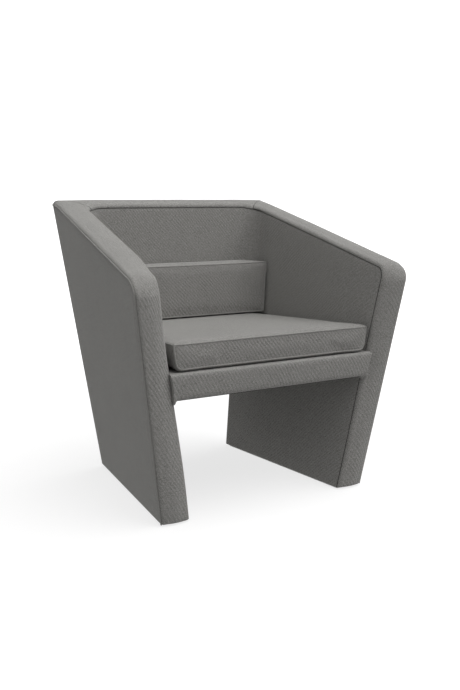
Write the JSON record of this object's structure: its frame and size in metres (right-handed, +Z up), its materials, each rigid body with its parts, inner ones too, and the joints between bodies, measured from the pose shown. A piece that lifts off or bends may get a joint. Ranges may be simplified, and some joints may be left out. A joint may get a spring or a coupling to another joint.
{
  "type": "upholstered armchair",
  "caption": "Fabric lounge armchair with leaning slab sides that reach the floor, a low back between them, a box seat cushion and a lumbar pad.",
  "frame": {"origin": "on the floor, under the middle of the chair's bounding box", "axes": "+Z up, -Y towards the front of the seat, +X to the sitter's left"},
  "size_m": [0.743, 0.6336, 0.7459],
  "materials": {
    "shell_fabric": "matt woven upholstery",
    "cushion_fabric": "matt woven upholstery",
    "dust_cloth": "matt non-woven",
    "webbing": "matt elastic webbing",
    "fibre": "matt polyester fibre",
    "foam": "matt cut foam",
    "board": "matt hardboard",
    "timber": "planed softwood",
    "glide_plastic": "satin translucent grey",
    "steel": "zinc plated",
    "zip_tape": "matt",
    "hook_and_loop": "matt"
  },
  "bodies": {
    "frame": {"back_bottom_rail": "timber", "back_cover": "shell_fabric", "back_edge_foam": "foam", "back_hook_strips": "hook_and_loop", "back_inner_board": "board", "back_inner_foam": "foam", "back_left_post": "timber", "back_outer_board": "board", "back_outer_foam": "foam", "back_right_post": "timber", "back_top_rail": "timber", "barrel_nuts": "steel", "corner_blocks": "timber", "corner_foam": "foam", "dust_cover": "dust_cloth", "frame_bolts": "steel", "glide_screws": "steel", "left_edge_foam": "foam", "left_glide_strip": "glide_plastic", "left_inner_board": "board", "left_inner_foam": "foam", "left_outer_board": "board", "left_outer_foam": "foam", "left_side_bottom_rail": "timber", "left_side_cover": "shell_fabric", "left_side_front_post": "timber", "left_side_rear_post": "timber", "left_side_seat_rail": "timber", "left_side_top_rail": "timber", "right_edge_foam": "foam", "right_glide_strip": "glide_plastic", "right_inner_board": "board", "right_inner_foam": "foam", "right_outer_board": "board", "right_outer_foam": "foam", "right_side_bottom_rail": "timber", "right_side_cover": "shell_fabric", "right_side_front_post": "timber", "right_side_rear_post": "timber", "right_side_seat_rail": "timber", "right_side_top_rail": "timber", "seat_base_cover": "shell_fabric", "seat_deck_pad": "foam", "seat_front_foam": "foam", "seat_front_rail": "timber", "seat_left_rail": "timber", "seat_rear_rail": "timber", "seat_right_rail": "timber", "webbing_cross": "webbing", "webbing_long": "webbing"},
    "seat_cushion": {"cushion_cover": "cushion_fabric", "cushion_foam": "foam", "cushion_wrap": "fibre", "cushion_zip": "zip_tape"},
    "lumbar_pad": {"pad_cover": "cushion_fabric", "pad_foam": "foam", "pad_zip": "zip_tape", "pad_loop_strips": "hook_and_loop"}
  },
  "joints": [
    {"name": "cushion_slide", "type": "slide", "parent": "frame", "child": "seat_cushion", "axis": [0, -0.999, 0.0437], "range_m": [0, 0.5]},
    {"name": "pad_slide", "type": "slide", "parent": "frame", "child": "lumbar_pad", "axis": [0, -0.9781, 0.2079], "range_m": [0, 0.2]}
  ]
}
